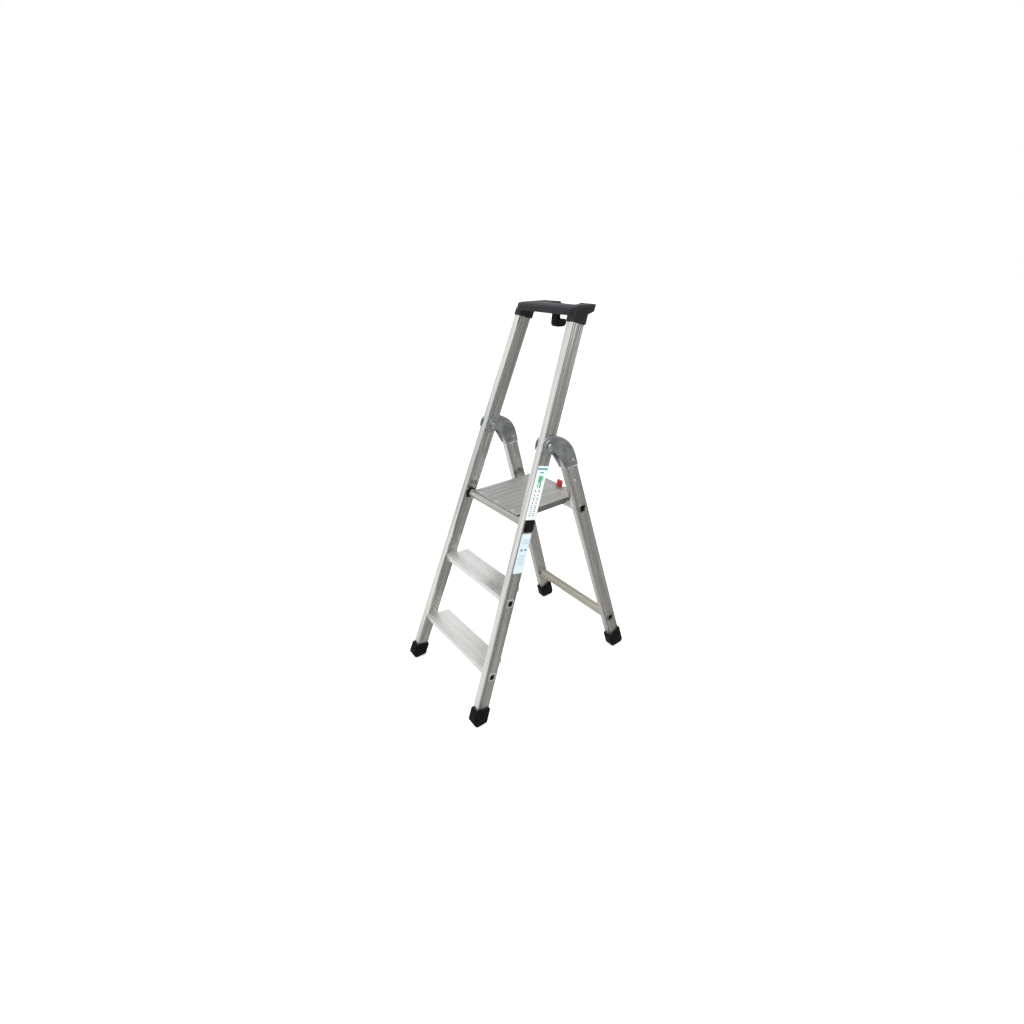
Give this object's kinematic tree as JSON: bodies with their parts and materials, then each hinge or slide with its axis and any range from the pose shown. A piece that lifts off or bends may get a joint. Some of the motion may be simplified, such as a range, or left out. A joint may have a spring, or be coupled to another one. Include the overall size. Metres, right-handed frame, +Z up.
{
  "type": "step stool",
  "caption": "Folding aluminium step stool with grooved treads, a standing platform, a black tool tray and hook on top, arched hinge brackets and a red platform catch.",
  "frame": {"origin": "centre of the footprint on the floor", "axes": "+Z up, +Y to the back, +X to the right of someone who climbs it"},
  "size_m": [0.3726, 0.7606, 1.309],
  "materials": {
    "stile_aluminium": "mill finish",
    "tread_aluminium": "mill finish, grooved",
    "deck_aluminium": "rolled sheet, satin",
    "tube_aluminium": "mill finish",
    "bracket_steel": "dull zinc grey",
    "zinc_steel": "zinc plated",
    "black_nylon": "fine grain",
    "charcoal_plastic": "moulded grain",
    "black_rubber": "ribbed sole",
    "red_plastic": "smooth",
    "printed_film": "printed film"
  },
  "bodies": {
    "front_frame": {"front_stile_right": "stile_aluminium", "front_stile_left": "stile_aluminium", "lower_tread": "tread_aluminium", "middle_tread": "tread_aluminium", "platform_bushing_right": "black_nylon", "platform_bushing_left": "black_nylon", "front_shoe_right": "black_rubber", "front_shoe_left": "black_rubber", "tool_tray": "charcoal_plastic", "bucket_hook": "black_nylon", "tray_screws": "zinc_steel", "upper_label": "printed_film", "lower_label": "printed_film", "pivot_bolts": "zinc_steel", "pivot_sleeves": "zinc_steel", "pivot_nuts": "zinc_steel", "hinge_washers": "black_nylon"},
    "rear_frame": {"rear_stile_right": "stile_aluminium", "rear_stile_left": "stile_aluminium", "upper_crossbar": "tube_aluminium", "lower_crossbar": "tube_aluminium", "hinge_bracket_right": "bracket_steel", "hinge_bracket_left": "bracket_steel", "bracket_spigot_right": "black_nylon", "bracket_spigot_left": "black_nylon", "bracket_rivets": "zinc_steel", "rear_shoe_right": "black_rubber", "rear_shoe_left": "black_rubber"},
    "platform": {"deck_panel": "deck_aluminium", "deck_front_tube": "tube_aluminium", "deck_rear_hook": "tread_aluminium", "deck_rivets": "zinc_steel", "catch_pin": "zinc_steel"},
    "catch": {"catch_lever": "red_plastic"}
  },
  "joints": [
    {"name": "rear_frame_fold", "type": "hinge", "parent": "front_frame", "child": "rear_frame", "pos_m": [0, -0.12623, 0.91476], "axis": [-1, 0, 0], "range_deg": [0, 38]},
    {"name": "platform_fold", "type": "hinge", "parent": "front_frame", "child": "platform", "pos_m": [0, -0.18348, 0.6715], "axis": [1, 0, 0], "range_deg": [0, 76]},
    {"name": "catch_turn", "type": "hinge", "parent": "platform", "child": "catch", "pos_m": [0.027, 0.08283, 0.67066], "axis": [-1, 0, 0], "range_deg": [0, 30]}
  ],
  "couplings": [
    {"joint": "platform_fold", "follows": "rear_frame_fold", "ratio": 2}
  ]
}
